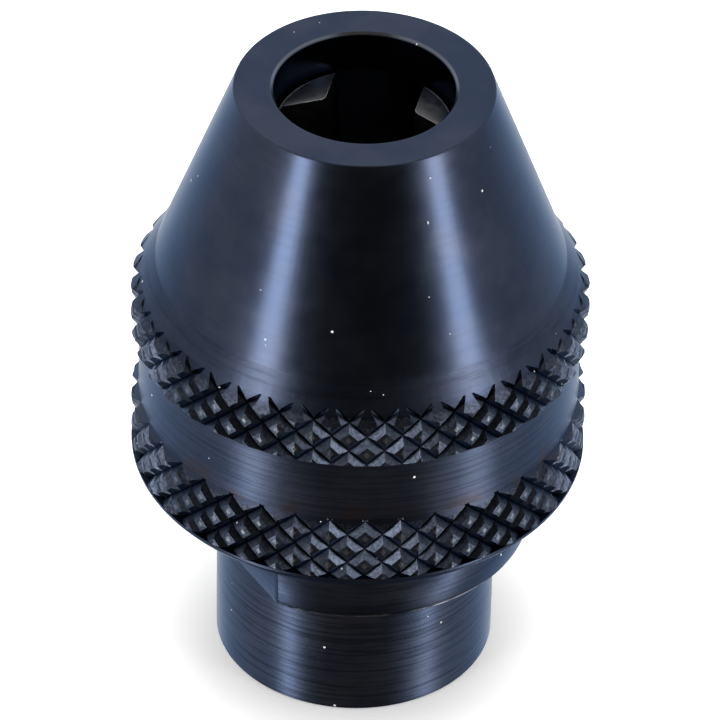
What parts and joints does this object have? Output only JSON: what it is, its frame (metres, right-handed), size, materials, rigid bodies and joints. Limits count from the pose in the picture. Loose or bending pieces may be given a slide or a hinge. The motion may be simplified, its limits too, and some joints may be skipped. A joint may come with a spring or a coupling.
{
  "type": "keyless drill chuck",
  "caption": "Small keyless chuck with a tapered knurled sleeve, spring-spread wedge jaws and a threaded spindle socket.",
  "frame": {"origin": "centre of the hub's rear face, where the spindle thread opens, on the chuck's axis", "axes": "+Z along the chuck's axis towards the nose; the first jaw lies at 30 degrees from +X towards +Y"},
  "size_m": [0.0168, 0.0168, 0.0251],
  "materials": {
    "blued_steel": "blue-black oxide on turned steel, half gloss",
    "bright_steel": "ground hardened steel, bare",
    "spring_steel": "drawn spring wire, bare"
  },
  "bodies": {
    "hub": {"hub": "blued_steel"},
    "thrust_washer": {"thrust_washer": "bright_steel"},
    "sleeve": {"sleeve": "blued_steel"},
    "jaw_1": {"jaw_1": "bright_steel"},
    "jaw_2": {"jaw_2": "bright_steel"},
    "jaw_3": {"jaw_3": "bright_steel"},
    "jaw_spring_1": {"jaw_spring_1": "spring_steel"},
    "jaw_spring_2": {"jaw_spring_2": "spring_steel"},
    "jaw_spring_3": {"jaw_spring_3": "spring_steel"}
  },
  "joints": [
    {"name": "sleeve_turn", "type": "hinge", "parent": "hub", "child": "thrust_washer", "pos_m": [0, 0, 0.0122], "axis": [0, 0, -1], "range_deg": [0, 1800]},
    {"name": "sleeve_advance", "type": "slide", "parent": "thrust_washer", "child": "sleeve", "axis": [0, 0, -1], "range_m": [0, 0.005]},
    {"name": "jaw_1_close", "type": "slide", "parent": "thrust_washer", "child": "jaw_1", "axis": [-0.866, -0.5, 0], "range_m": [0, 0.0018]},
    {"name": "jaw_2_close", "type": "slide", "parent": "thrust_washer", "child": "jaw_2", "axis": [0.866, -0.5, 0], "range_m": [0, 0.0018]},
    {"name": "jaw_3_close", "type": "slide", "parent": "thrust_washer", "child": "jaw_3", "axis": [0, 1, 0], "range_m": [0, 0.0018]},
    {"name": "jaw_spring_1_squeeze", "type": "slide", "parent": "thrust_washer", "child": "jaw_spring_1", "axis": [0, -1, 0], "range_m": [0, 0.0009], "deforming": ["jaw_spring_1"]},
    {"name": "jaw_spring_2_squeeze", "type": "slide", "parent": "thrust_washer", "child": "jaw_spring_2", "axis": [0.866, 0.5, 0], "range_m": [0, 0.0009], "deforming": ["jaw_spring_2"]},
    {"name": "jaw_spring_3_squeeze", "type": "slide", "parent": "thrust_washer", "child": "jaw_spring_3", "axis": [-0.866, 0.5, 0], "range_m": [0, 0.0009], "deforming": ["jaw_spring_3"]}
  ],
  "couplings": [
    {"joint": "sleeve_advance", "follows": "sleeve_turn", "m_per_rad": 0.00015915},
    {"joint": "jaw_1_close", "follows": "sleeve_turn", "m_per_rad": 0.000057296},
    {"joint": "jaw_2_close", "follows": "sleeve_turn", "m_per_rad": 0.000057296},
    {"joint": "jaw_3_close", "follows": "sleeve_turn", "m_per_rad": 0.000057296},
    {"joint": "jaw_spring_1_squeeze", "follows": "sleeve_turn", "m_per_rad": 0.000028648},
    {"joint": "jaw_spring_2_squeeze", "follows": "sleeve_turn", "m_per_rad": 0.000028648},
    {"joint": "jaw_spring_3_squeeze", "follows": "sleeve_turn", "m_per_rad": 0.000028648}
  ]
}
